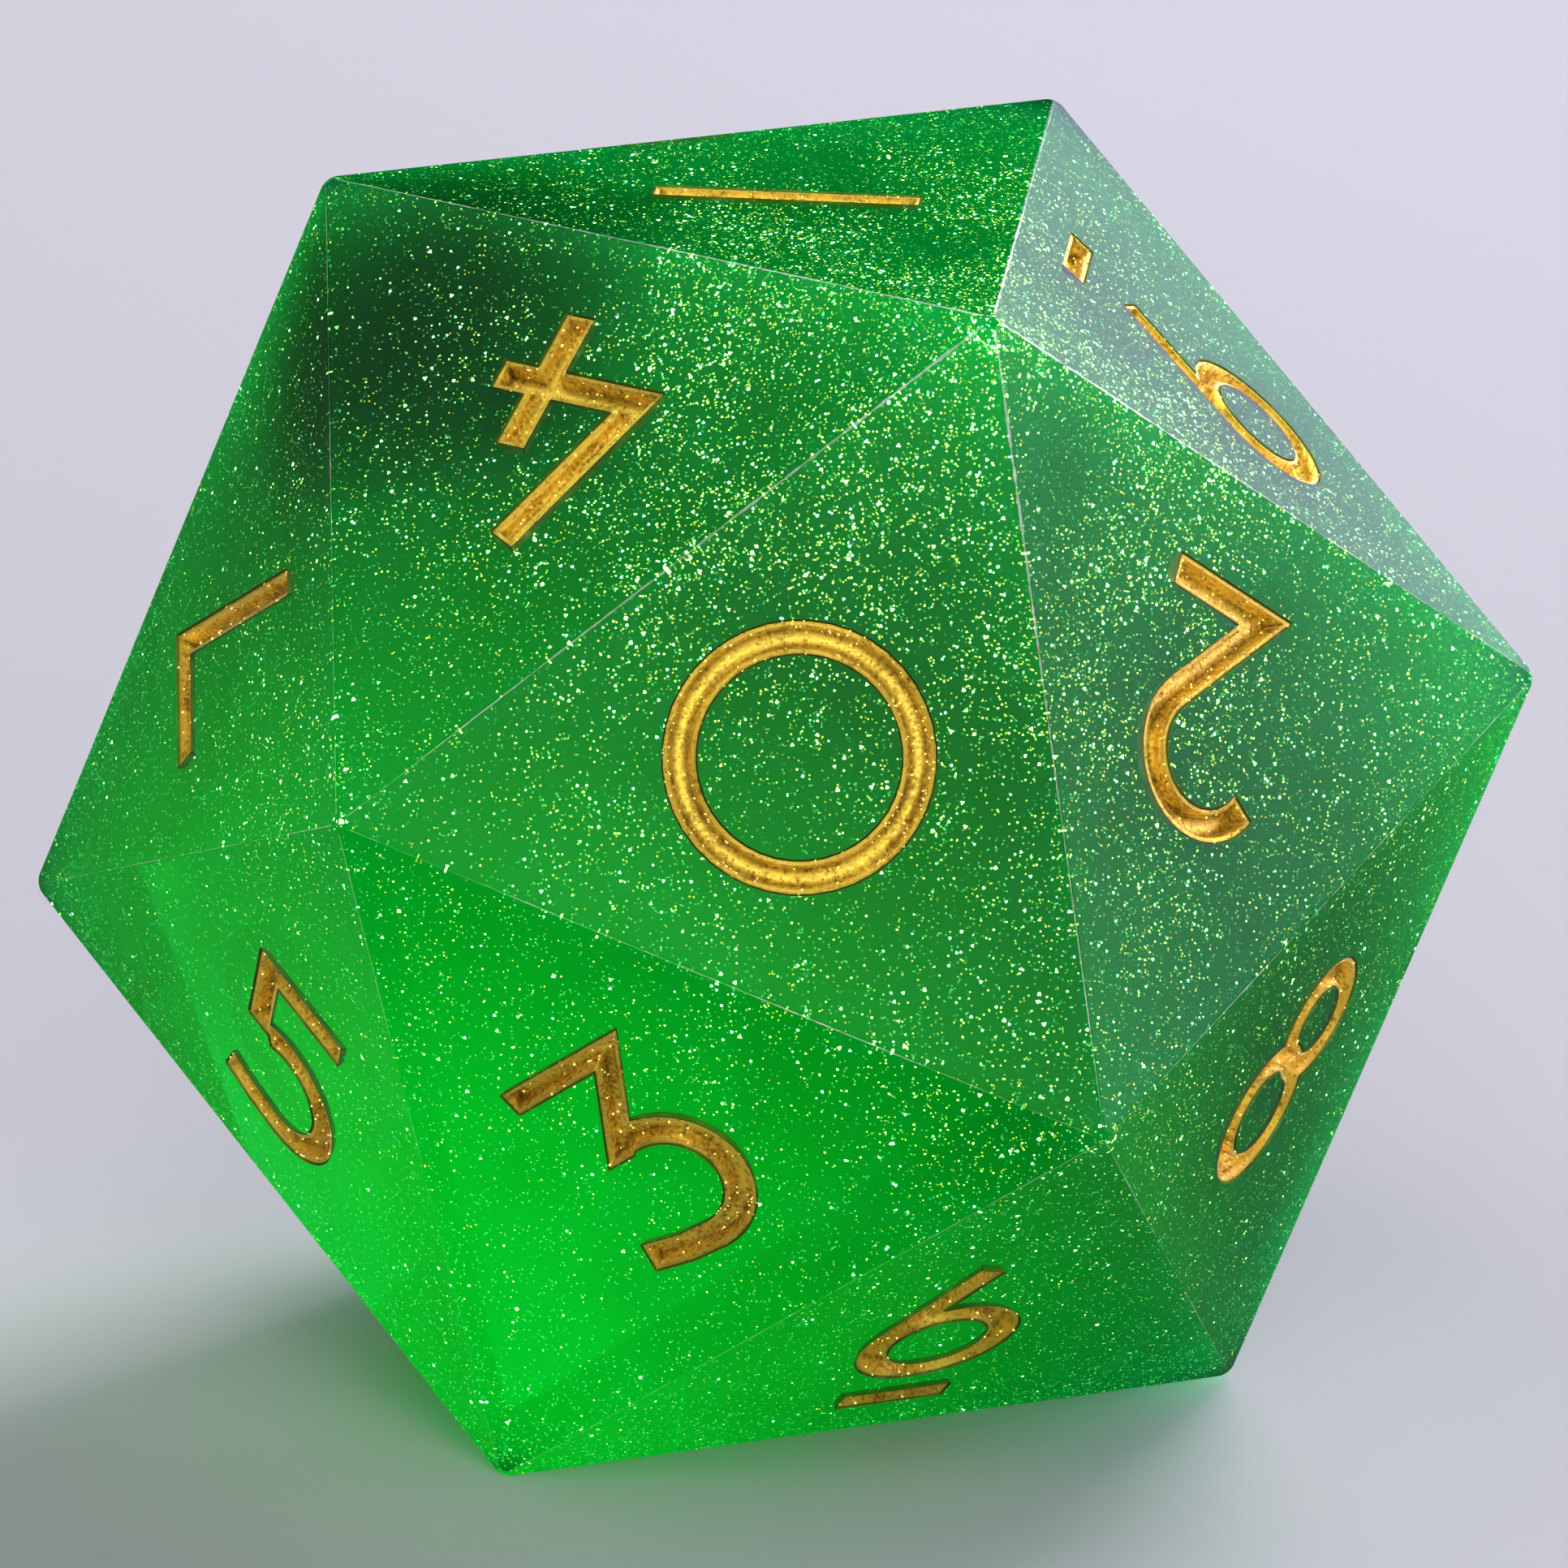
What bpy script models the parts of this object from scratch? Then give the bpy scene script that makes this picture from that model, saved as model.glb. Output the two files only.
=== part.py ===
"""Twenty-sided die cast in clear green resin, with engraved and gold-inked numerals.

The casting is a regular icosahedron with softened corners. Every face carries one engraved
numeral; the ten numerals 0 to 9 sit on the front half and again on the faces opposite.
Each groove is lined with a thin, separate channel of gold ink.

The die stands on one face. The origin is the middle of that face, +Z is up, and the front
edge of the resting face runs along X on the -Y side.
"""

from math import cos, hypot, radians, sin, sqrt

import bmesh
import bpy
from mathutils import Matrix, Vector

MM = 0.001

# The casting
FACE_TO_FACE = 20.0 * MM
GOLDEN = (1 + sqrt(5)) / 2
EDGE = FACE_TO_FACE * sqrt(3) / GOLDEN**2
FACE_RADIUS = EDGE / sqrt(3)
CORNER_ROUNDING = 0.28 * MM
EDGE_SOFTENING = 0.045 * MM
SHARP_EDGE = radians(30)
SLIVER = 0.002 * MM

# The grooves, in millimetres of the face they are cut in
STROKE = 0.56
STRAIGHT_STROKE = 0.52
BAR_STROKE = 0.50
FINE_STROKE = 0.48
GROOVE_DEPTH = 0.40
FLOOR_SHARE = 0.72
CUTTER_RISE = 0.20
ARC_STEP = 9.0

# The ink lining, in millimetres
INK_GAP = 0.015
INK_THICKNESS = 0.06
INK_BELOW_FACE = 0.03

# Corners by name: layer of the die, and the way round it in degrees from +X
CORNERS = {
    "A": ("top", -90),
    "E": ("top", 30),
    "D": ("top", 150),
    "B": ("upper", -150),
    "F": ("upper", -30),
    "J": ("upper", 90),
    "C": ("lower", -90),
    "K": ("lower", 30),
    "I": ("lower", 150),
    "H": ("base", -150),
    "G": ("base", -30),
    "L": ("base", 90),
}
OPPOSITE = dict(zip("ABCDEFGHIJKL", "LKJGHIDEFCBA"))

# The face of each front numeral. The numeral's top points to the first corner named.
FRONT_FACES = {
    0: "ABC",
    1: "DAE",
    2: "CAF",
    3: "BCH",
    4: "BAD",
    5: "BHI",
    6: "CGH",
    7: "IBD",
    8: "FCG",
    9: "FAE",
}

# Shapes shared by several numerals, in millimetres
BOWL = 1.12
TAIL_RADIUS = 4.3
TAIL_ANGLE = 18
SLANT = radians(68)
STEM = 2.65
HALF_BAR = 0.96


# The middle of the bar under a numeral that could be read upside down, in millimetres
UNDERLINES = {6: (0, -2.6), 9: (0.2, -2.62)}


def arc(x, y, radius, start, end):
    """Points of an arc in degrees, one for about every ARC_STEP."""
    steps = max(1, round(abs(end - start) / ARC_STEP))
    angles = [radians(start + (end - start) * i / steps) for i in range(steps + 1)]
    return [(x + radius * cos(a), y + radius * sin(a)) for a in angles]


def ring(x, y, radius, width=STROKE):
    """A closed round stroke."""
    return {"path": arc(x, y, radius, 0, 360)[:-1], "closed": True, "width": width}


def stroke(path, width=STROKE, level_end=False):
    """An open stroke. A level end is cut along X instead of square to the stroke."""
    return {"path": path, "closed": False, "width": width, "level_end": level_end}


def bowl_with_tail(x, y, start):
    """The open bowl of the 3 and the 5, which flattens into a tail on the left."""
    tail = arc(x, y - BOWL + TAIL_RADIUS, TAIL_RADIUS, -90, -90 - TAIL_ANGLE)
    return stroke(arc(x, y, BOWL, start, -90) + tail[1:])


def six(x, y, turned=1):
    """A ring with a straight stem touching it; turned is -1 for a 9."""
    touch = (-sin(SLANT) * BOWL, cos(SLANT) * BOWL)
    tip = (touch[0] + cos(SLANT) * STEM, touch[1] + sin(SLANT) * STEM)
    stem = [(x + turned * a, y + turned * b) for a, b in (touch, tip)]
    return [ring(x, y, BOWL), stroke(stem)]


def underline(x, y):
    """The bar that tells a 6 from a 9."""
    return [stroke([(x - HALF_BAR, y), (x + HALF_BAR, y)], BAR_STROKE)]


def numeral_strokes(numeral):
    """The strokes of one numeral, in millimetres about the middle of its face."""
    if numeral == 0:
        return [ring(-0.2, -0.03, 1.92)]
    if numeral == 1:
        return [stroke([(0.03, 2.25), (0.03, -2.1)])]
    if numeral == 2:
        return [stroke(arc(-0.07, 0.75, 1.16, 156, -38) + [(-0.62, -1.86), (1.5, -1.86)])]
    if numeral == 3:
        top = [(-1.35, 1.87), (0.75, 1.87), (-0.53, 0.01)]
        return [stroke(top, FINE_STROKE, level_end=True), bowl_with_tail(-0.12, -0.78, 99)]
    if numeral == 4:
        return [
            stroke([(-0.12, 2.0), (-1.2, -0.95), (1.55, -0.95)]),
            stroke([(0.64, 0.3), (0.64, -2.28)]),
        ]
    if numeral == 5:
        top = [(1.1, 1.78), (-0.87, 1.78), (-0.87, 0.0)]
        return [stroke(top), bowl_with_tail(-0.05, -0.93, 120)]
    if numeral == 6:
        return six(0, -0.4)
    if numeral == 7:
        return [stroke([(-1.45, 1.8), (0.92, 1.8), (-0.56, -2.15)], STRAIGHT_STROKE, level_end=True)]
    if numeral == 8:
        upper, lower = 0.88, 1.02
        waist, overlap = 0.02, 0.04
        return [
            ring(-0.02, waist + upper - overlap, upper),
            ring(-0.02, waist - lower + overlap, lower),
        ]
    return six(0.1, 1.4, turned=-1)


def groove_section(width):
    """The groove across a stroke: wide at the face, narrower at the floor, open above."""
    half = width / 2
    return [
        (-half, CUTTER_RISE),
        (-half, 0),
        (-half * FLOOR_SHARE, -GROOVE_DEPTH),
        (half * FLOOR_SHARE, -GROOVE_DEPTH),
        (half, 0),
        (half, CUTTER_RISE),
    ]


def lining_section(width, inset, top):
    """A solid strip that follows the groove's walls at a distance inside them."""
    floor = -GROOVE_DEPTH + inset
    lean = width / 2 * (1 - FLOOR_SHARE) / GROOVE_DEPTH
    wall_inset = inset * hypot(1, lean)
    at_floor = width / 2 + floor * lean - wall_inset
    at_top = width / 2 + top * lean - wall_inset
    return [(-at_top, top), (-at_floor, floor), (at_floor, floor), (at_top, top)]


def skin_section(width):
    """The outside of the ink, just clear of the groove."""
    return lining_section(width, INK_GAP, -INK_BELOW_FACE)


def hollow_section(width):
    """The open middle of the ink's channel."""
    return lining_section(width, INK_GAP + INK_THICKNESS, CUTTER_RISE)


def side_vectors(path, closed, level_end):
    """For each point, the vector that offsets both neighbouring lines sideways by one."""
    points = [Vector(p) for p in path]
    count = len(points)
    sides = []
    for i, point in enumerate(points):
        before = (point - points[i - 1]).normalized() if closed or i else None
        after = (points[(i + 1) % count] - point).normalized() if closed or i < count - 1 else None
        before, after = before or after, after or before
        middle = (before + after).normalized()
        side = Vector((-middle.y, middle.x))
        side /= side.dot(Vector((-before.y, before.x)))
        if level_end and i == count - 1:
            side = Vector((-1 / before.y, 0))
        sides.append(side)
    return points, sides


def sweep(shape, section, name):
    """A closed solid in the face's own frame: the section carried along one stroke."""
    closed = shape["closed"]
    points, sides = side_vectors(shape["path"], closed, shape.get("level_end", False))
    bm = bmesh.new()
    loops = []
    for point, side in zip(points, sides):
        rim = [(*(point + side * across), height) for across, height in section]
        loops.append([bm.verts.new([value * MM for value in spot]) for spot in rim])
    spans = len(loops) if closed else len(loops) - 1
    for i in range(spans):
        near, far = loops[i], loops[(i + 1) % len(loops)]
        for j in range(len(section)):
            k = (j + 1) % len(section)
            bm.faces.new((near[j], near[k], far[k], far[j]))
    if not closed:
        bm.faces.new(loops[0])
        bm.faces.new(list(reversed(loops[-1])))
    bmesh.ops.recalc_face_normals(bm, faces=bm.faces)
    return add_object(bm, name)


def add_object(bm, name):
    """Turns a bmesh into a named object of the scene."""
    mesh = bpy.data.meshes.new(name)
    bm.to_mesh(mesh)
    bm.free()
    ob = bpy.data.objects.new(name, mesh)
    bpy.context.scene.collection.objects.link(ob)
    return ob


def close_slivers(bm):
    """Merges corners closer than SLIVER, which bevels and Booleans leave behind."""
    bmesh.ops.remove_doubles(bm, verts=bm.verts, dist=SLIVER)
    bmesh.ops.dissolve_degenerate(bm, edges=bm.edges, dist=SLIVER)


def combine(target, others, operation):
    """Joins the others to the target, or cuts them out of it, and removes them."""
    for other in others:
        step = target.modifiers.new(operation.lower(), "BOOLEAN")
        step.operation = operation
        step.object = other
        step.solver = "EXACT"
    depsgraph = bpy.context.evaluated_depsgraph_get()
    shaped = bpy.data.meshes.new_from_object(target.evaluated_get(depsgraph))
    bm = bmesh.new()
    bm.from_mesh(shaped)
    close_slivers(bm)
    bm.to_mesh(shaped)
    bm.free()
    shaped.name = target.name
    target.modifiers.clear()
    target.data = shaped
    for other in others:
        bpy.data.objects.remove(other)


def corner_spots():
    """Each named corner of the icosahedron, standing on its base face."""
    half_height = FACE_TO_FACE / 2
    middle_radius = FACE_RADIUS * GOLDEN
    rise = half_height / GOLDEN**3
    layers = {
        "top": (FACE_RADIUS, 2 * half_height),
        "upper": (middle_radius, half_height + rise),
        "lower": (middle_radius, half_height - rise),
        "base": (FACE_RADIUS, 0),
    }
    spots = {}
    for name, (layer, angle) in CORNERS.items():
        radius, height = layers[layer]
        spots[name] = Vector((radius * cos(radians(angle)), radius * sin(radians(angle)), height))
    return spots


def back_face(face):
    """The face opposite, with its numeral's top at the opposite corner."""
    return "".join(OPPOSITE[corner] for corner in face)


def face_placement(face, spots):
    """The frame of a face: origin in its middle, Y to its first corner, Z outwards."""
    corners = [spots[name] for name in face]
    middle = sum(corners, Vector()) / 3
    outwards = (middle - Vector((0, 0, FACE_TO_FACE / 2))).normalized()
    up = (corners[0] - middle).normalized()
    across = up.cross(outwards)
    frame = Matrix((across, up, outwards)).transposed().to_4x4()
    frame.translation = middle
    return frame


def softened_icosahedron(spots, faces):
    """The casting before engraving, with rounded corners and slightly eased edges."""
    bm = bmesh.new()
    verts = {name: bm.verts.new(spot) for name, spot in spots.items()}
    for face in faces:
        bm.faces.new([verts[name] for name in face])
    bmesh.ops.recalc_face_normals(bm, faces=bm.faces)
    bmesh.ops.bevel(
        bm,
        geom=list(bm.verts),
        offset=CORNER_ROUNDING,
        offset_type="OFFSET",
        segments=3,
        profile=0.5,
        affect="VERTICES",
    )
    sharp = [e for e in bm.edges if e.calc_face_angle(0) > SHARP_EDGE]
    bmesh.ops.bevel(
        bm,
        geom=sharp,
        offset=EDGE_SOFTENING,
        offset_type="OFFSET",
        segments=2,
        profile=0.5,
        affect="EDGES",
    )
    close_slivers(bm)
    return add_object(bm, "resin_body")


def joined_strokes(strokes, name, section_of, shape_of=lambda shape: shape):
    """One solid of all the strokes of a numeral, in the face's own frame."""
    solids = [sweep(shape_of(shape), section_of(shape["width"]), name) for shape in strokes]
    if solids[1:]:
        combine(solids[0], solids[1:], "UNION")
    return solids[0]


def groove_cutter(strokes, placement):
    """What an engraved numeral takes out of the casting."""
    cutter = joined_strokes(strokes, "groove", groove_section)
    cutter.matrix_world = placement
    return cutter


def add_ink(strokes, name, placement):
    """A channel of ink that lines the floor and walls of a numeral's grooves."""
    ink = joined_strokes(strokes, name, skin_section, shortened_by(INK_GAP))
    hollow_ends = shortened_by(INK_GAP + INK_THICKNESS)
    hollow = joined_strokes(strokes, "hollow", hollow_section, hollow_ends)
    combine(ink, [hollow], "DIFFERENCE")
    ink.name = name
    ink.matrix_world = placement
    return ink


def shortened_by(length):
    """Pulls both ends of an open stroke in by a length."""

    def shorten(shape):
        if shape["closed"]:
            return shape
        path = [Vector(p) for p in shape["path"]]
        path[0] = path[0] + (path[1] - path[0]).normalized() * length
        path[-1] = path[-1] + (path[-2] - path[-1]).normalized() * length
        return {**shape, "path": path}

    return shorten


def material(name, colour, roughness, metallic):
    """A plain Principled material."""
    made = bpy.data.materials.new(name)
    made.use_nodes = True
    shader = made.node_tree.nodes["Principled BSDF"]
    shader.inputs["Base Color"].default_value = (*colour, 1)
    shader.inputs["Roughness"].default_value = roughness
    shader.inputs["Metallic"].default_value = metallic
    return made


def main():
    for ob in list(bpy.data.objects):
        bpy.data.objects.remove(ob)
    spots = corner_spots()
    faces = list(FRONT_FACES.values()) + [back_face(face) for face in FRONT_FACES.values()]
    body = softened_icosahedron(spots, faces)
    body.data.materials.append(material("green_resin", (0.01, 0.36, 0.07), 0.08, 0.0))
    gold = material("gold_ink", (0.60, 0.34, 0.06), 0.35, 0.7)
    grooves = []
    for numeral, front in FRONT_FACES.items():
        for side, face in (("front", front), ("back", back_face(front))):
            placement = face_placement(face, spots)
            pieces = {f"ink_{numeral}_{side}": numeral_strokes(numeral)}
            if numeral in UNDERLINES:
                pieces[f"ink_{numeral}_{side}_underline"] = underline(*UNDERLINES[numeral])
            for name, strokes in pieces.items():
                grooves.append(groove_cutter(strokes, placement))
                ink = add_ink(strokes, name, placement)
                ink.data.materials.clear()
                ink.data.materials.append(gold)
    for groove in grooves:
        combine(body, [groove], "DIFFERENCE")


main()
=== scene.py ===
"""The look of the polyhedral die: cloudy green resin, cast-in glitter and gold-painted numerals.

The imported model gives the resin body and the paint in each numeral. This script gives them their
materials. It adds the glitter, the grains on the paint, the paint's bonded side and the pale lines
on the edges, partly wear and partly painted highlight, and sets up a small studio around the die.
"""

from itertools import combinations
from math import cos, radians, sin, sqrt

import bpy
import numpy as np
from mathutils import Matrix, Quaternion, Vector, noise
from mathutils.bvhtree import BVHTree


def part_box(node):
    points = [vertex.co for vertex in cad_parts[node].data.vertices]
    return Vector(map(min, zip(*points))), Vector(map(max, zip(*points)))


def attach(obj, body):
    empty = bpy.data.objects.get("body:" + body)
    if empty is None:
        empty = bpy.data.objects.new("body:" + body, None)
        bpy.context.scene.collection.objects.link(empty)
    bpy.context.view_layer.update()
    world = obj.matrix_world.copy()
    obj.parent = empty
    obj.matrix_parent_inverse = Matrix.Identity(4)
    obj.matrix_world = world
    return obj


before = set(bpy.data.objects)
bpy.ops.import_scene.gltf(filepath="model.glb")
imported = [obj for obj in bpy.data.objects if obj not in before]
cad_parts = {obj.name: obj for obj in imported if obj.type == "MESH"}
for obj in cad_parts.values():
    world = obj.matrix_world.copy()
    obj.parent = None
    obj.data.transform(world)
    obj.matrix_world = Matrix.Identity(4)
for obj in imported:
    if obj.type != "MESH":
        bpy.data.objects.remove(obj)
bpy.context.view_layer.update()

MM = 0.001
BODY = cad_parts["resin_body"]
INKS = [part for name, part in sorted(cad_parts.items()) if name.startswith("ink_")]
LOW, HIGH = (Vector(corner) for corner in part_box("resin_body"))
CENTRE = Vector((0, 0, (LOW.z + HIGH.z) / 2))
HALF_HEIGHT = (HIGH.z - LOW.z) / 2

# The icosahedron that stands as high as the body, before its edges are softened.
GOLDEN = (1 + sqrt(5)) / 2
FACE_RADIUS = 2 * HALF_HEIGHT / GOLDEN**2
EDGE = FACE_RADIUS * sqrt(3)

# The camera looks down a little on the die from the front left, through a long lens. It aims a
# touch to the right of the die's middle and below it.
CAMERA_AZIMUTH = -25.19
CAMERA_ELEVATION = 17.63
CAMERA_ROLL = 1.02
CAMERA_DISTANCE = 302 * MM
CAMERA_LENS = 421.4
AIM_RIGHT = 0.047 * MM
AIM_UP = -0.055 * MM

# The red, green and blue light that the resin takes up and the light that it spreads, per metre.
ABSORBING = (600, 20, 330)
CLOUDINESS = 255

# How much of the resin's surface has the full shine of glass.
GLOSS_SHARE = 0.16

# The dark haze under the top left corner: how far it has drifted towards the front, how far it
# reaches at full strength and at all, and how dense it is at full strength.
HAZE_DRIFT = 0.25
HAZE_REACH = (0.5 * MM, 4.5 * MM)
HAZE_DENSITY = 1300.0

# Painted light: the resin glows low on the left, in place of the light that gathers there. Its
# place from the centre, and how far it reaches at full strength and at all, are in half heights of
# the die.
PAINTED_GLOW_PLACE = Vector((-0.76, -0.22, -0.78))
PAINTED_GLOW_REACH = (0.3, 1.4)
PAINTED_GLOW_STRENGTH = 88.0

# The glitter starts just under the faces. It gathers in clouds near the nearest top corner, a
# little way down the edge that runs from there to the corner below it.
SHALLOWEST_GLITTER = 0.05 * MM
CLOUD_SIZE = 2.2 * MM
CLOUD_CONTRAST = 1.6
CLUSTER_REACH = 9 * MM
CLUSTER_SHIFT = 0.12

# For each kind: how many grains are tried, the share of them kept far from the clouds, their
# smallest and largest reach and usual depth in millimetres, their colour and the brightness of
# their glow, which is painted light.
GLITTER = {
    "glitter_green": (60000, 1.0, 0.012, 0.023, 0.8, (0.25, 1.0, 0.40), 1.2),
    "glitter_gold": (110000, 0.04, 0.013, 0.023, 0.8, (1.0, 0.72, 0.12), 2.5),
    "glitter_bright": (42000, 0.012, 0.017, 0.028, 0.5, (1.0, 0.82, 0.25), 6.0),
    "glitter_white": (11000, 0.025, 0.018, 0.038, 0.5, (0.75, 1.0, 0.95), 8.0),
    "glitter_large": (4500, 0.012, 0.032, 0.050, 0.4, (1.0, 0.88, 0.5), 8.0),
}

# Each grain is a pyramid with four equal faces.
PYRAMID_CORNERS = ((1, 1, 1), (1, -1, -1), (-1, 1, -1), (-1, -1, 1))
PYRAMID_FACES = ((0, 1, 2), (0, 3, 1), (0, 2, 3), (1, 3, 2))

# The metal grains that stand up from the paint: how many, how far they reach and how high they
# stand, and the share of them that glow, a painted sparkle.
GRAINS_PER_SQUARE_MM = 50
GRAIN_REACH = (0.012 * MM, 0.026 * MM)
GRAIN_LIFT = 0.006 * MM
GRAIN_SEED = 50
PAINTED_SPARKLE_SHARE = 0.2

# How far inside the resin the paint's bonded side lies.
BACKING_DEPTH = 0.012 * MM

# Nothing that lies further from the centre than this belongs to a groove.
GROOVE_REACH = 10.45 * MM

# A polygon lies in a face where it points the same way and is less than this below it.
SAME_WAY = 0.9995
FACE_MARGIN = 0.1 * MM

# The pale line along each softened edge, partly rubbing and partly a painted highlight. Its half
# width is slight, grows towards the nearest top corner, and varies from step to step, as the
# line's place does.
SLIGHT_WEAR_AND_HIGHLIGHT = 0.005 * MM
STRONG_WEAR_AND_HIGHLIGHT = 0.018 * MM
WEAR_AND_HIGHLIGHT_REACH = 9 * MM
WEAR_AND_HIGHLIGHT_LIFT = 0.003 * MM
WEAR_AND_HIGHLIGHT_STEPS = 160
WEAR_AND_HIGHLIGHT_SEED = 60
WIDTH_RANGE = (0.3, 1.3)
SHIFT_RANGE = (-0.3, 0.3)

# A corner of the mesh this near the highest line of a softened edge belongs to its crest.
CREST_MARGIN = 0.002 * MM

# The floor's half width and how far the lamps stand from the die, in metres. Each lamp has its
# azimuth and elevation in degrees, width and height in metres, power in watts and colour.
FLOOR_REACH = 3
LAMP_DISTANCE = 0.5
WHITE = (1, 1, 1)
LILAC = (0.68, 0.54, 1.0)
LAMPS = {
    "key": (125, 45, 0.2, 0.2, 2.3, WHITE),
    "rim": (105, 12, 0.95, 0.18, 3.9, LILAC),
    "front": (-20, 36, 0.35, 0.4, 1.15, WHITE),
    "back_left": (-129, 54, 0.3, 0.3, 0.4, WHITE),
    "top_left": (-50, 62, 0.3, 0.3, 0.25, WHITE),
}


def new_material(name):
    """An empty node material, its tree and its output node."""
    made = bpy.data.materials.new(name)
    made.use_nodes = True
    made.node_tree.nodes.clear()
    return made, made.node_tree, made.node_tree.nodes.new("ShaderNodeOutputMaterial")


def feed(tree, socket, value):
    """Links a socket to the one given as its value, or else sets it."""
    if isinstance(value, bpy.types.NodeSocket):
        tree.links.new(value, socket)
    else:
        socket.default_value = value


def node(tree, kind, **inputs):
    """A shader node with values or links in its named sockets."""
    made = tree.nodes.new("ShaderNode" + kind)
    for name, value in inputs.items():
        feed(tree, made.inputs[name.replace("_", " ")], value)
    return made


def node_in_order(tree, kind, *values):
    """A shader node whose first sockets take the values or links in turn."""
    made = tree.nodes.new("ShaderNode" + kind)
    for socket, value in zip(made.inputs, values):
        feed(tree, socket, value)
    return made


def math_node(tree, operation, first, second):
    """The socket with the result of one sum on two numbers or sockets."""
    made = node_in_order(tree, "Math", first, second)
    made.operation = operation
    return made.outputs[0]


def object_coordinates(tree):
    """The socket with positions in the object's own space, in metres."""
    return tree.nodes.new("ShaderNodeTexCoord").outputs["Object"]


def distance_from(tree, spots, place):
    """The socket with how far the spots are from a fixed place."""
    made = node_in_order(tree, "VectorMath", spots, place)
    made.operation = "DISTANCE"
    return made.outputs["Value"]


def ranged(tree, value, low, high, to_low, to_high):
    """The socket with a value stretched from one range to another."""
    return node(tree, "MapRange", Value=value, From_Min=low, From_Max=high,
                To_Min=to_low, To_Max=to_high).outputs["Result"]


def mixed(tree, share, first, second):
    """The output of a Mix Shader; the share is of the second shader."""
    return node_in_order(tree, "MixShader", share, first, second).outputs[0]


def added(tree, first, second):
    """The output of an Add Shader."""
    return node_in_order(tree, "AddShader", first, second).outputs[0]


def polish_marks(tree):
    """The normal of a hand-polished face: faint waves with fine straight scratches over them."""
    spots = object_coordinates(tree)
    waves = node(tree, "TexNoise", Vector=spots, Scale=260.0, Detail=2.0)
    streaks = node(tree, "Mapping", Vector=spots, Rotation=(0.5, 0.3, 0.9),
                   Scale=(9000.0, 150.0, 150.0))
    scratches = node(tree, "TexNoise", Vector=streaks.outputs[0], Scale=1.0, Detail=3.0)
    lines = ranged(tree, scratches.outputs["Fac"], 0.62, 0.78, 0.0, 1.0)
    wavy = node(tree, "Bump", Strength=0.5, Distance=0.04 * MM, Height=waves.outputs["Fac"])
    return node(tree, "Bump", Strength=0.25, Distance=0.004 * MM, Height=lines,
                Normal=wavy.outputs[0]).outputs[0]


def resin_surface(tree):
    """Clear resin whose shine is a share of plain glass's, and which lets lamps through."""
    normal = polish_marks(tree)
    smears = node(tree, "TexNoise", Vector=object_coordinates(tree), Scale=500.0, Detail=3.0)
    roughness = ranged(tree, smears.outputs["Fac"], 0.3, 0.7, 0.005, 0.04)
    glass = node(tree, "BsdfPrincipled", Base_Color=(0.25, 1.0, 0.4, 1), Roughness=roughness,
                 IOR=1.5, Transmission_Weight=1.0, Normal=normal)
    dull = node(tree, "BsdfRefraction", Color=(0.5, 1.0, 0.65, 1), Roughness=roughness,
                IOR=1.5, Normal=normal)
    seen = mixed(tree, GLOSS_SHARE, dull.outputs[0], glass.outputs[0])
    open_to_lamps = node(tree, "BsdfTransparent", Color=(0.8, 1.0, 0.85, 1))
    path = tree.nodes.new("ShaderNodeLightPath")
    return mixed(tree, path.outputs["Is Shadow Ray"], seen, open_to_lamps.outputs[0])


def resin_haze(tree, spots):
    """The dark haze under the top left corner."""
    nearest, _, left, front, *_ = die_corners()
    away = distance_from(tree, spots, left.lerp((nearest + front) / 2, HAZE_DRIFT))
    density = ranged(tree, away, *HAZE_REACH, HAZE_DENSITY, 0.0)
    return node(tree, "VolumeAbsorption", Color=(0.0, 0.35, 0.1, 1), Density=density).outputs[0]


def painted_resin_glow(tree, spots, swirls):
    """Painted light: a glow low on the left, in place of gathered light, as uneven as the swirls.
    """
    away = distance_from(tree, spots, CENTRE + PAINTED_GLOW_PLACE * HALF_HEIGHT)
    start, end = (reach * HALF_HEIGHT for reach in PAINTED_GLOW_REACH)
    gathered = ranged(tree, away, start, end, PAINTED_GLOW_STRENGTH, 0.0)
    uneven = ranged(tree, swirls, 0.35, 0.65, 0.5, 1.5)
    strength = math_node(tree, "MULTIPLY", gathered, uneven)
    return node(tree, "Emission", Color=(0.0, 1.0, 0.075, 1), Strength=strength).outputs[0]


def resin_volume(tree):
    """The inside: green take-up, a dark haze, cloudy swirls and a painted glow for gathered light.
    """
    densest = max(ABSORBING)
    take = node(tree, "VolumeAbsorption", Density=float(densest),
                Color=(*[1 - share / densest for share in ABSORBING], 1))
    spots = object_coordinates(tree)
    swirls = node(tree, "TexNoise", Vector=spots, Scale=230.0, Detail=3.0,
                  Distortion=1.5).outputs["Fac"]
    cloud = node(tree, "VolumeScatter", Color=(0.0, 1.0, 0.3, 1), Anisotropy=0.3,
                 Density=ranged(tree, swirls, 0.3, 0.7, 0.5 * CLOUDINESS, 1.5 * CLOUDINESS))
    inside = added(tree, take.outputs[0], resin_haze(tree, spots))
    inside = added(tree, inside, cloud.outputs[0])
    # The glow added last is painted light.
    return added(tree, inside, painted_resin_glow(tree, spots, swirls))


def resin_material():
    """Cloudy green casting resin."""
    made, tree, out = new_material("cloudy_green_resin")
    tree.links.new(resin_surface(tree), out.inputs["Surface"])
    tree.links.new(resin_volume(tree), out.inputs["Volume"])
    return made


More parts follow.
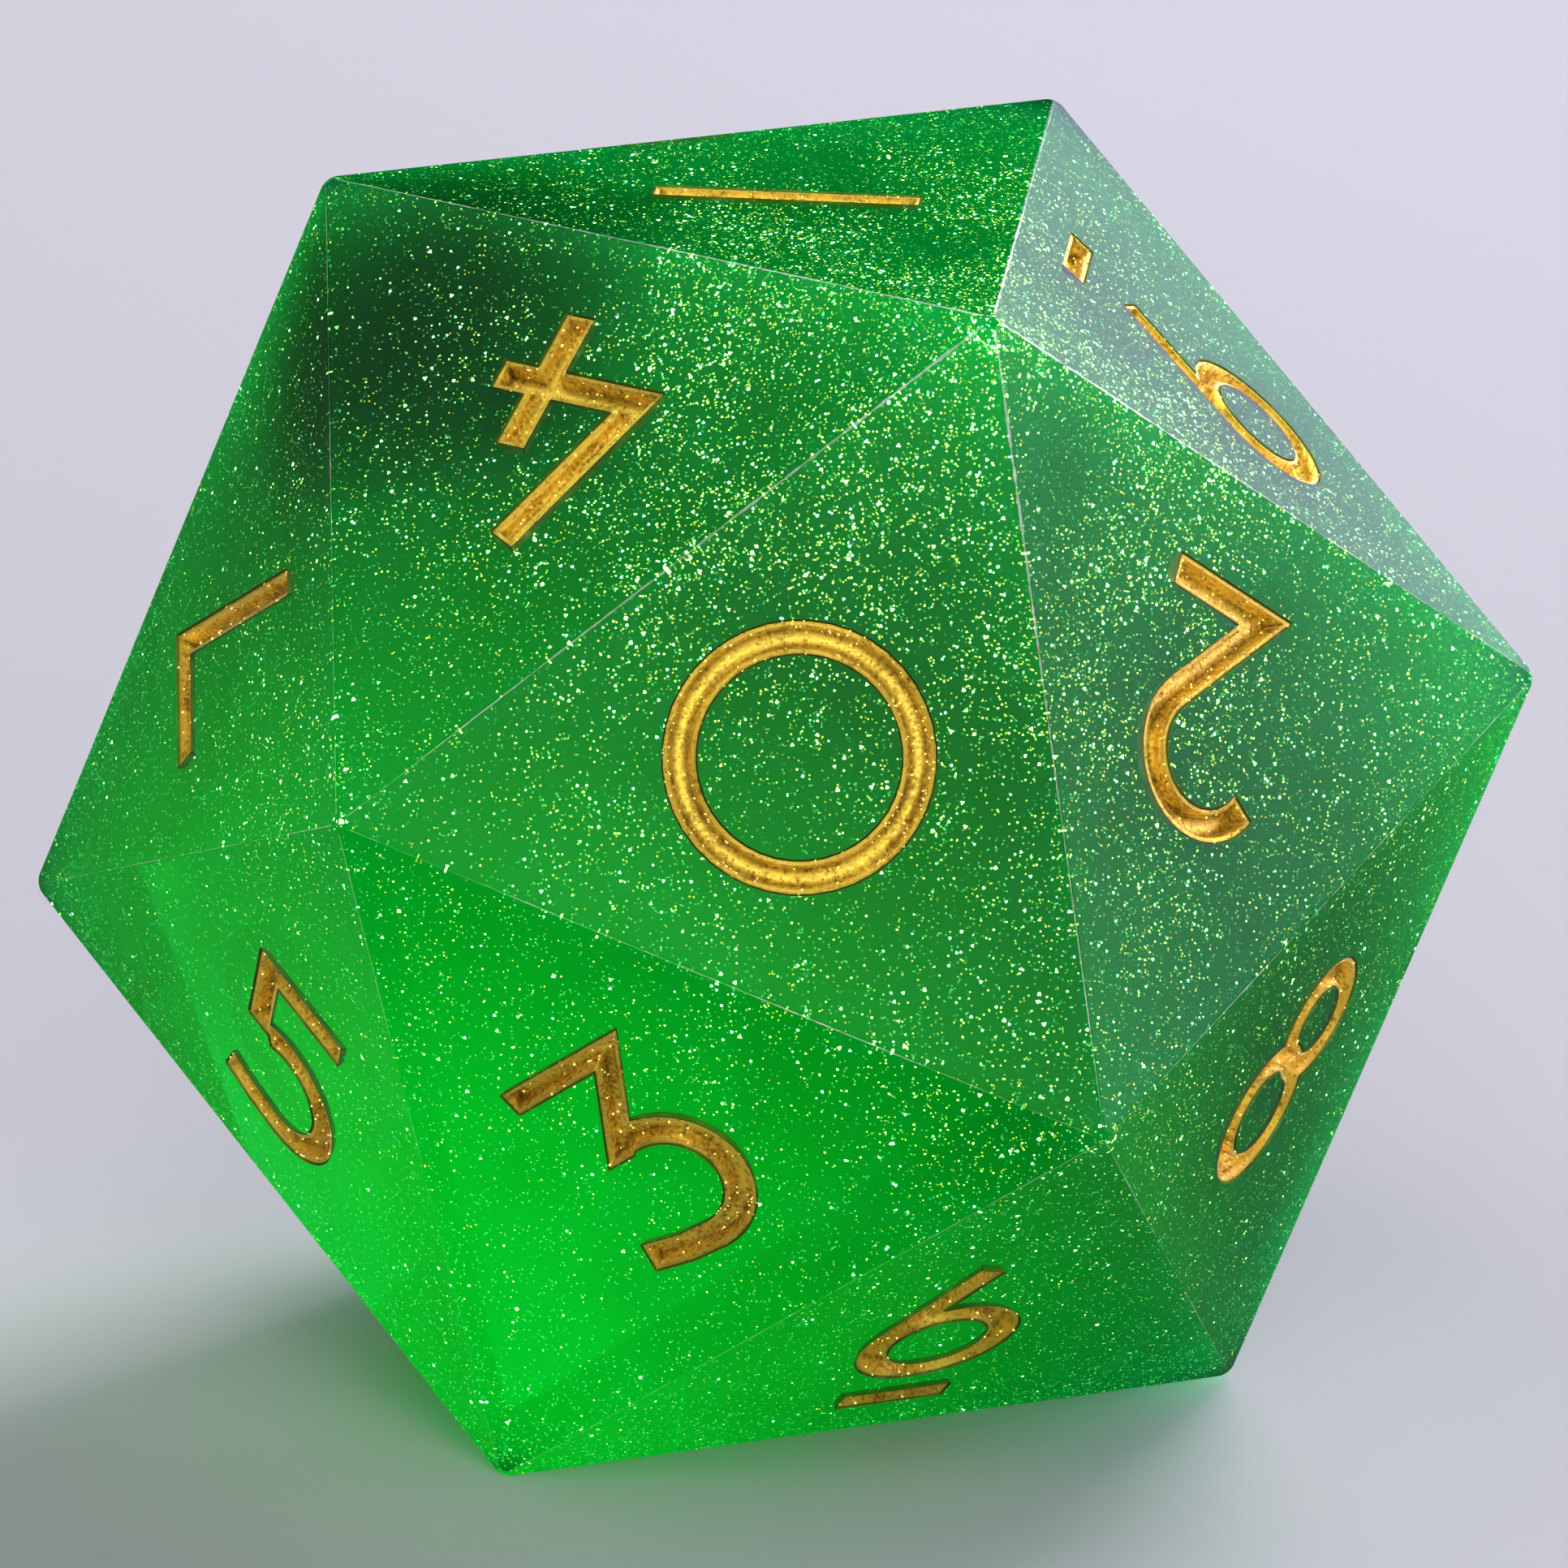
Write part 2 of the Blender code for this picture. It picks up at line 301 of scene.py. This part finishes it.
def ink_tones(tree, spots, grain):
    """Paint colour: brown between grains, gold elsewhere, painted shade in the groove's corners."""
    pools = node(tree, "TexNoise", Vector=spots, Scale=1800.0, Detail=2.0)
    blend = math_node(tree, "MULTIPLY", grain,
                      ranged(tree, pools.outputs["Fac"], 0.3, 0.7, 0.75, 1.25))
    # Painted shade: occlusion darkens the paint deep in the groove and lightens its open parts.
    painted_shade_openness = node(tree, "AmbientOcclusion", Distance=0.6 * MM).outputs["AO"]
    blend = math_node(tree, "MULTIPLY", blend, ranged(tree, painted_shade_openness, 0.1, 0.7, 0.65, 1.25))
    ramp = node_in_order(tree, "ValToRGB", blend)
    brown, gold = ramp.color_ramp.elements
    brown.position = 0.22
    brown.color = (0.20, 0.085, 0.003, 1)
    gold.position = 0.56
    gold.color = (1.0, 0.72, 0.09, 1)
    return ramp.outputs[0]


def ink_material():
    """Gold paint with coarse grain, smooth across the groove as a brush leaves it."""
    made, tree, out = new_material("gold_ink")
    spots = object_coordinates(tree)
    grain = node(tree, "TexNoise", Vector=spots, Scale=14000.0, Detail=4.0).outputs["Fac"]
    tones = ink_tones(tree, spots, grain)
    rounded = node(tree, "Bevel", Radius=0.22 * MM)
    bump = node(tree, "Bump", Strength=0.8, Distance=0.02 * MM, Height=grain,
                Normal=rounded.outputs[0])
    # Its faint glow in its own tones is painted light that lifts the paint where lamps reach
    # little.
    gold = node(tree, "BsdfPrincipled", Base_Color=tones, Roughness=0.38, Metallic=0.9,
                Emission_Color=tones, Emission_Strength=0.065, Normal=bump.outputs[0])
    tree.links.new(gold.outputs[0], out.inputs["Surface"])
    return made


def grain_material(name, colour, brightness):
    """Shiny grains, uneven in tone, whose own light stands in for what the resin brings them."""
    made, tree, out = new_material(name)
    tones = node(tree, "TexNoise", Vector=object_coordinates(tree), Scale=3000.0)
    tone = node(tree, "MixRGB", Fac=tones.outputs["Fac"], Color1=(*colour, 1),
                Color2=(*[share * 0.6 for share in colour], 1))
    metal = node(tree, "BsdfPrincipled", Base_Color=tone.outputs[0], Roughness=0.3, Metallic=1.0,
                 Emission_Color=(*colour, 1), Emission_Strength=brightness)
    tree.links.new(metal.outputs[0], out.inputs["Surface"])
    return made


def backing_material():
    """Paint seen from behind, through the resin: duller, brown gold in soft patches."""
    made, tree, out = new_material("paint_backing")
    spots = object_coordinates(tree)
    patches = node(tree, "TexNoise", Vector=spots, Scale=2500.0, Detail=4.0)
    tone = node(tree, "MixRGB", Fac=patches.outputs["Fac"], Color1=(0.10, 0.045, 0.004, 1),
                Color2=(0.75, 0.42, 0.05, 1))
    paint = node(tree, "BsdfPrincipled", Base_Color=tone.outputs[0], Roughness=0.45, Metallic=0.4)
    tree.links.new(paint.outputs[0], out.inputs["Surface"])
    return made


def wear_and_highlight_material():
    """Pale rubbing and painted highlight, broken up by clear gaps, and strongest at one corner."""
    made, tree, out = new_material("worn_and_highlit_edge")
    spots = object_coordinates(tree)
    patches = node(tree, "TexNoise", Vector=spots, Scale=350.0, Detail=6.0, Roughness=0.7)
    # The pale colour is partly rubbing and partly a painted highlight.
    rubbed_and_highlit = node(tree, "BsdfPrincipled", Base_Color=(0.9, 0.95, 0.95, 1), Roughness=0.3)
    clear = node(tree, "BsdfTransparent")
    patchy = ranged(tree, patches.outputs["Fac"], 0.42, 0.65, 0.05, 0.7)
    away = distance_from(tree, spots, die_corners()[0])
    share = math_node(tree, "ADD", patchy, ranged(tree, away, 0, 1.8 * HALF_HEIGHT, 0.4, 0.0))
    tree.links.new(mixed(tree, share, clear.outputs[0], rubbed_and_highlit.outputs[0]), out.inputs["Surface"])
    return made


def floor_material():
    """Plain pale studio paper with a very faint tooth."""
    made, tree, out = new_material("pale_floor")
    tooth = node(tree, "TexNoise", Vector=object_coordinates(tree), Scale=900.0, Detail=3.0)
    bump = node(tree, "Bump", Strength=0.1, Distance=0.05 * MM, Height=tooth.outputs["Fac"])
    paper = node(tree, "BsdfPrincipled", Base_Color=(0.46, 0.46, 0.48, 1), Roughness=0.85,
                 Normal=bump.outputs[0])
    tree.links.new(paper.outputs[0], out.inputs["Surface"])
    return made


def new_piece(name, spots, faces, material):
    """A mesh object of the given corners and faces, linked to the scene."""
    mesh = bpy.data.meshes.new(name)
    mesh.from_pydata(spots, [], faces)
    mesh.materials.append(material)
    made = bpy.data.objects.new(name, mesh)
    bpy.context.scene.collection.objects.link(made)
    return made


def keep(piece):
    """Fixes a piece to the die."""
    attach(piece, "root")


def die_corners():
    """The twelve corners of the icosahedron that stands on a face, the nearest top one first."""
    belt_radius = FACE_RADIUS * GOLDEN
    belt_height = HALF_HEIGHT / GOLDEN**3
    # Each ring's radius and height, and where the first of its three corners stands, in degrees.
    rings = ((FACE_RADIUS, HALF_HEIGHT, -90), (belt_radius, belt_height, -150),
             (belt_radius, -belt_height, -90), (FACE_RADIUS, -HALF_HEIGHT, -150))
    return [
        CENTRE + Vector((radius * cos(radians(turn)), radius * sin(radians(turn)), height))
        for radius, height, start in rings
        for turn in (start, start + 120, start + 240)
    ]


def touching(first, second):
    """Whether one edge joins two corners."""
    return abs((first - second).length - EDGE) < EDGE / 100


def die_edges():
    """The two corners of each of the thirty edges."""
    return [pair for pair in combinations(die_corners(), 2) if touching(*pair)]


def die_faces():
    """The three corners of each of the twenty faces."""
    return [face for face in combinations(die_corners(), 3)
            if all(touching(*pair) for pair in combinations(face, 2))]


def unit_rows(rows):
    """Each row scaled to length one."""
    return rows / np.linalg.norm(rows, axis=1)[:, None]


def grain_corners(spots, reaches, rng):
    """The four corners of one tiny pyramid at each spot, each turned at random."""
    first = unit_rows(rng.normal(size=spots.shape))
    second = unit_rows(np.cross(first, rng.normal(size=spots.shape)))
    axes = np.stack([first, second, np.cross(first, second)], 1) * reaches[:, None, None]
    return (spots[:, None] + unit_rows(np.array(PYRAMID_CORNERS)) @ axes).reshape(-1, 3).tolist()


def grains_piece(name, spots, reaches, rng, material):
    """One piece of many separate grains."""
    first_corners = len(PYRAMID_CORNERS) * np.arange(len(spots))
    faces = first_corners[:, None, None] + np.array(PYRAMID_FACES)
    corners = grain_corners(spots, reaches, rng)
    keep(new_piece(name, corners, faces.reshape(-1, 3).tolist(), material))


def body_tree():
    """The resin body's surface, to tell which spots lie inside the resin."""
    mesh = BODY.data
    return BVHTree.FromPolygons([vertex.co for vertex in mesh.vertices],
                                [polygon.vertices for polygon in mesh.polygons])


def in_resin(surface, spot, outward):
    """Whether a spot lies in solid resin, clear of its faces and of the grooves' open space."""
    facing = surface.ray_cast(spot, outward)[1]
    if facing is None or facing.dot(outward) < 0:
        return False
    return surface.find_nearest(spot)[3] > SHALLOWEST_GLITTER


def cloud_share(spot):
    """How thick the drifting clouds of glitter are at a spot, around 1."""
    return 1 + CLOUD_CONTRAST * noise.noise(Vector(spot) / CLOUD_SIZE)


def glitter_spots(count, sparse_share, usual_depth, surface, rng):
    """Spots in the resin under the faces: in clouds near one corner, evenly elsewhere."""
    faces = np.array(die_faces())
    nearest, *_, below = die_corners()[:7]
    thickest = np.array(nearest.lerp(below, CLUSTER_SHIFT))
    picked = rng.integers(0, len(faces), count)
    chosen = faces[picked]
    on_face = (chosen * rng.dirichlet((1, 1, 1), count)[:, :, None]).sum(1)
    inward = unit_rows(np.array(CENTRE) - chosen.mean(1))
    spots = on_face + inward * (SHALLOWEST_GLITTER + rng.exponential(usual_depth, count))[:, None]
    near = np.exp(-((np.linalg.norm(on_face - thickest, axis=1) / CLUSTER_REACH) ** 2))
    clouds = np.array([cloud_share(spot) for spot in spots])
    kept = rng.random(count) < sparse_share + (1 - sparse_share) * near * clouds
    heights = (spots - np.array(CENTRE)) @ np.array(face_directions()).T
    kept &= heights.argmax(1) == picked
    kept[kept] = [in_resin(surface, Vector(spot), Vector(way))
                  for spot, way in zip(spots[kept], -inward[kept])]
    return spots[kept]


def add_glitter():
    """The grains cast into the resin, one piece for each kind."""
    surface = body_tree()
    for seed, (name, kind) in enumerate(GLITTER.items(), 1):
        count, sparse_share, smallest, largest, depth, colour, brightness = kind
        rng = np.random.default_rng(seed)
        spots = glitter_spots(count, sparse_share, depth * MM, surface, rng)
        reaches = rng.uniform(smallest, largest, len(spots)) * MM
        grains_piece(name, spots, reaches, rng, grain_material(name, colour, brightness))


def surface_samples(mesh, per_square_mm, rng):
    """Even random spots over a mesh, with the surface's facing at each."""
    mesh.calc_loop_triangles()
    places = np.array([vertex.co for vertex in mesh.vertices])
    triangles = np.array([triangle.vertices for triangle in mesh.loop_triangles])
    facing = np.array([triangle.normal for triangle in mesh.loop_triangles])
    areas = np.array([triangle.area for triangle in mesh.loop_triangles])
    count = int(areas.sum() / MM**2 * per_square_mm)
    picked = rng.choice(len(areas), count, p=areas / areas.sum())
    spots = (places[triangles[picked]] * rng.dirichlet((1, 1, 1), count)[:, :, None]).sum(1)
    return spots, facing[picked]


def add_ink_grain():
    """Metal grains standing up from the paint in each numeral."""
    rng = np.random.default_rng(GRAIN_SEED)
    samples = [surface_samples(part.data, GRAINS_PER_SQUARE_MM, rng) for part in INKS]
    spots = np.concatenate([sample[0] + sample[1] * GRAIN_LIFT for sample in samples])
    reaches = rng.uniform(*GRAIN_REACH, len(spots))
    painted_sparkling = rng.random(len(spots)) < PAINTED_SPARKLE_SHARE
    # Grains that glow give a painted sparkle; the others only reflect.
    for name, which, material in (
        ("ink_grain", ~painted_sparkling, grain_material("gold_grain", (1.0, 0.66, 0.1), 0.0)),
        ("ink_painted_sparkle", painted_sparkling, grain_material("gold_painted_sparkle", (1.0, 0.8, 0.25), 2.5)),
    ):
        grains_piece(name, spots[which], reaches[which], rng, material)


def inside_box(spot):
    """The spot, or the nearest place to it inside the body's box."""
    return Vector(min(max(part, low), high) for part, low, high in zip(spot, LOW, HIGH))


def face_directions():
    """The outward direction of each of the twenty faces."""
    return [(sum(face, Vector()) / 3 - CENTRE).normalized() for face in die_faces()]


def in_face(polygon, directions):
    """Whether a polygon of the body lies in one of the twenty faces, and not in a groove."""
    outward = max(directions, key=polygon.normal.dot)
    level = (polygon.center - CENTRE).dot(outward) > HALF_HEIGHT - FACE_MARGIN
    return level and polygon.normal.dot(outward) > SAME_WAY


def add_paint_backing():
    """The paint's bonded side, which shows through the resin around every groove."""
    mesh = BODY.data
    directions = face_directions()
    spots = []
    faces = []
    for polygon in mesh.polygons:
        around = [mesh.vertices[index].co for index in polygon.vertices]
        furthest = max((spot - CENTRE).length for spot in around)
        if furthest > GROOVE_REACH or in_face(polygon, directions):
            continue
        start = len(spots)
        spots += [spot - polygon.normal * BACKING_DEPTH for spot in around]
        faces.append(range(start, len(spots)))
    keep(new_piece("paint_backing", spots, faces, backing_material()))


def crest(first, last):
    """Both ends of the softened edge's crest, the way outward there and the way across it."""
    outward = ((first + last) / 2 - CENTRE).normalized()
    across = (last - first).cross(outward).normalized()
    centred = [vertex.co for vertex in BODY.data.vertices
               if abs((vertex.co - CENTRE).dot(across)) < CREST_MARGIN]
    height = max((spot - CENTRE).dot(outward) for spot in centred)
    level = [spot for spot in centred if (spot - CENTRE).dot(outward) > height - CREST_MARGIN]
    ends = sorted(level, key=(last - first).dot)
    return ends[0], ends[-1], outward, across


def add_rubbed_and_highlit_edges():
    """A line of rubbing and painted highlight on each softened edge, strongest near one top corner.
    """
    strongest_corner = die_corners()[0]
    rng = np.random.default_rng(WEAR_AND_HIGHLIGHT_SEED)
    spots = []
    faces = []
    for pair in die_edges():
        first, last, outward, across = crest(*pair)
        for step in range(WEAR_AND_HIGHLIGHT_STEPS + 1):
            place = first.lerp(last, step / WEAR_AND_HIGHLIGHT_STEPS) + outward * WEAR_AND_HIGHLIGHT_LIFT
            near = np.exp(-((place - strongest_corner).length / WEAR_AND_HIGHLIGHT_REACH) ** 2)
            width = (SLIGHT_WEAR_AND_HIGHLIGHT + STRONG_WEAR_AND_HIGHLIGHT * near) * rng.uniform(*WIDTH_RANGE)
            shift = across * width * rng.uniform(*SHIFT_RANGE)
            spots += [inside_box(place + shift + across * width),
                      inside_box(place + shift - across * width)]
            if step:
                end = len(spots)
                faces.append((end - 4, end - 3, end - 1, end - 2))
    keep(new_piece("edge_wear_and_highlight", spots, faces, wear_and_highlight_material()))


def dress_cad_parts():
    """Gives the resin body and the paint in the numerals their finished materials."""
    gold = ink_material()
    for part in INKS:
        part.data.materials.clear()
        part.data.materials.append(gold)
    BODY.data.materials.clear()
    BODY.data.materials.append(resin_material())


def direction(azimuth, elevation):
    """The unit vector at an azimuth counted from -Y towards +X, and an elevation, in degrees."""
    turn = radians(azimuth)
    rise = radians(elevation)
    return Vector((cos(rise) * sin(turn), -cos(rise) * cos(turn), sin(rise)))


def add_camera():
    """The long-lens camera."""
    data = bpy.data.cameras.new("camera")
    data.lens = CAMERA_LENS
    data.clip_start = 0.05
    data.clip_end = 5
    made = bpy.data.objects.new("camera", data)
    toward = direction(CAMERA_AZIMUTH, CAMERA_ELEVATION)
    turn = toward.to_track_quat("Z", "Y") @ Quaternion((0, 0, 1), radians(CAMERA_ROLL))
    aim = CENTRE + turn @ Vector((AIM_RIGHT, AIM_UP, 0))
    made.rotation_mode = "QUATERNION"
    made.rotation_quaternion = turn
    made.location = aim + toward * CAMERA_DISTANCE
    bpy.context.scene.collection.objects.link(made)
    bpy.context.scene.camera = made


def add_softbox(name, azimuth, elevation, width, height, power, colour):
    """A flat lamp that faces the die."""
    data = bpy.data.lights.new(name, "AREA")
    data.shape = "RECTANGLE"
    data.size = width
    data.size_y = height
    data.energy = power
    data.color = colour
    made = bpy.data.objects.new(name, data)
    way = direction(azimuth, elevation)
    made.location = CENTRE + way * LAMP_DISTANCE
    made.rotation_euler = way.to_track_quat("Z", "Y").to_euler()
    bpy.context.scene.collection.objects.link(made)


def add_studio():
    """Pale floor, dim surroundings and soft lamps, the strongest behind and to the right."""
    quarters = ((-1, -1), (1, -1), (1, 1), (-1, 1))
    corners = [(x * FLOOR_REACH, y * FLOOR_REACH, 0) for x, y in quarters]
    new_piece("floor", corners, [range(4)], floor_material())
    world = bpy.data.worlds.new("studio")
    bpy.context.scene.world = world
    world.use_nodes = True
    background = world.node_tree.nodes["Background"]
    background.inputs["Color"].default_value = (0.8, 0.82, 0.95, 1)
    background.inputs["Strength"].default_value = 0.05
    for name, settings in LAMPS.items():
        add_softbox(name, *settings)
    bpy.context.scene.view_settings.view_transform = "Standard"


dress_cad_parts()
add_glitter()
add_ink_grain()
add_paint_backing()
add_rubbed_and_highlit_edges()
add_camera()
add_studio()
